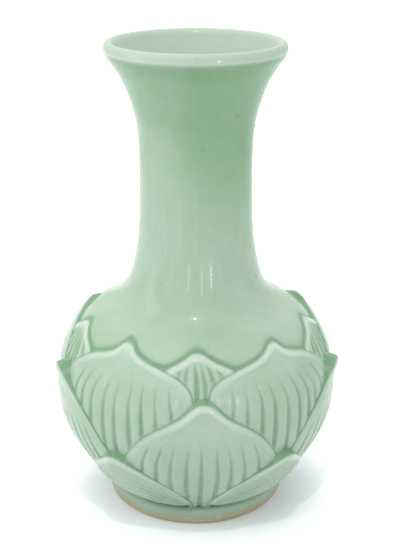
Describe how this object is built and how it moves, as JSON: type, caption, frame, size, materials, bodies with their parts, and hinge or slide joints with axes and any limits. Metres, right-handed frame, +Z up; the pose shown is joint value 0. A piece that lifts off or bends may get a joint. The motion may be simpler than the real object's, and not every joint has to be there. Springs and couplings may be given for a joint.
{
  "type": "bud vase",
  "caption": "Round-bellied bud vase with a slender waisted neck, rolled lip, foot ring and overlapping lotus petals in relief, glazed all over but for the foot.",
  "frame": {"origin": "centre of the foot ring's resting face", "axes": "+Z up along the vase's axis; the middle of one tier 2 petal faces -Y"},
  "size_m": [0.1112, 0.1134, 0.18],
  "materials": {
    "glaze": "gloss",
    "bare_clay": "matte"
  },
  "bodies": {
    "root": {"belly": "glaze", "neck": "glaze", "lip": "glaze", "petal_tier1_1": "glaze", "petal_tier1_2": "glaze", "petal_tier1_3": "glaze", "petal_tier1_4": "glaze", "petal_tier1_5": "glaze", "petal_tier2_1": "glaze", "petal_tier2_2": "glaze", "petal_tier2_3": "glaze", "petal_tier2_4": "glaze", "petal_tier2_5": "glaze", "petal_tier3_1": "glaze", "petal_tier3_2": "glaze", "petal_tier3_3": "glaze", "petal_tier3_4": "glaze", "petal_tier3_5": "glaze", "petal_tier4_1": "glaze", "petal_tier4_2": "glaze", "petal_tier4_3": "glaze", "petal_tier4_4": "glaze", "petal_tier4_5": "glaze", "foot_ring": "bare_clay"}
  },
  "joints": []
}
